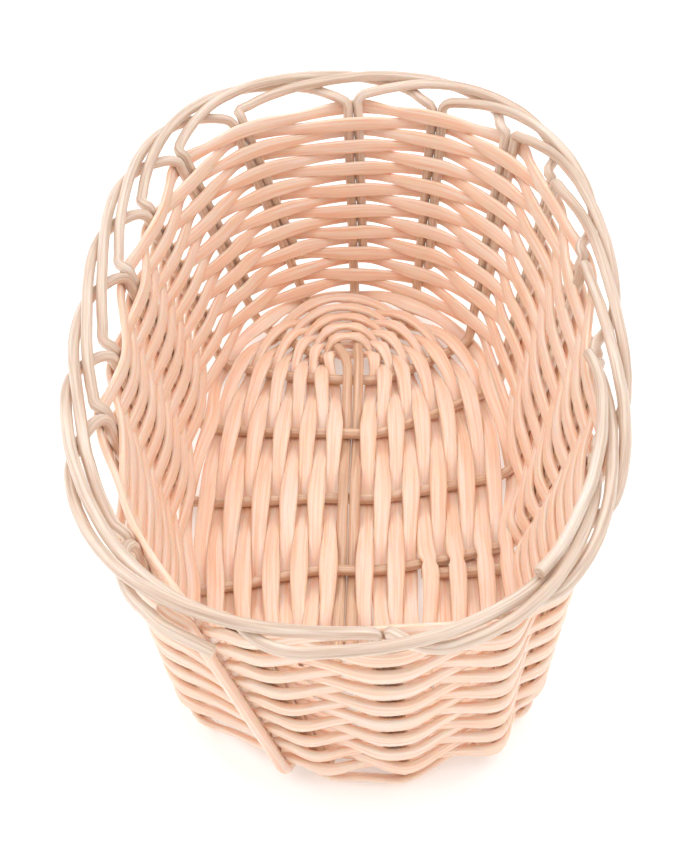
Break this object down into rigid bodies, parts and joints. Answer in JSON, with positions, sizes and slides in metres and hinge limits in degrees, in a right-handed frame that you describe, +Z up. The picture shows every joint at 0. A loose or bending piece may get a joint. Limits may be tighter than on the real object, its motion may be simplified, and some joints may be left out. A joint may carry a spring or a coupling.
{
  "type": "woven fruit basket",
  "caption": "Oval shallow basket of peeled cane: round rods cross in the floor, rise as stakes and turn into an open twisted border, with flattened strips woven through them.",
  "frame": {"origin": "middle of the basket's outline, on the plane that it stands on", "axes": "+Z up out of the basket, +Y along its long axis to the far end, +X to the right of someone at the near end"},
  "size_m": [0.1576, 0.255, 0.0849],
  "materials": {
    "cane_rod": "satin",
    "cane_strip": "satin"
  },
  "bodies": {
    "root": {"border_rod": "cane_rod", "centre_rod_left": "cane_rod", "centre_rod_right": "cane_rod", "cross_rod_1": "cane_rod", "cross_rod_2": "cane_rod", "cross_rod_3": "cane_rod", "cross_rod_4": "cane_rod", "cross_rod_5": "cane_rod", "end_stake_far_left": "cane_rod", "end_stake_far_right": "cane_rod", "end_stake_near_left": "cane_rod", "end_stake_near_right": "cane_rod", "floor_weaver_1": "cane_strip", "floor_weaver_2": "cane_strip", "floor_weaver_3": "cane_strip", "side_stake_right": "cane_rod", "wall_weaver_1": "cane_strip", "wall_weaver_2": "cane_strip", "wall_weaver_3": "cane_strip", "wall_weaver_4": "cane_strip", "wall_weaver_5": "cane_strip", "wall_weaver_6": "cane_strip", "wall_weaver_7": "cane_strip", "wall_weaver_8": "cane_strip", "wall_weaver_9": "cane_strip"}
  },
  "joints": []
}
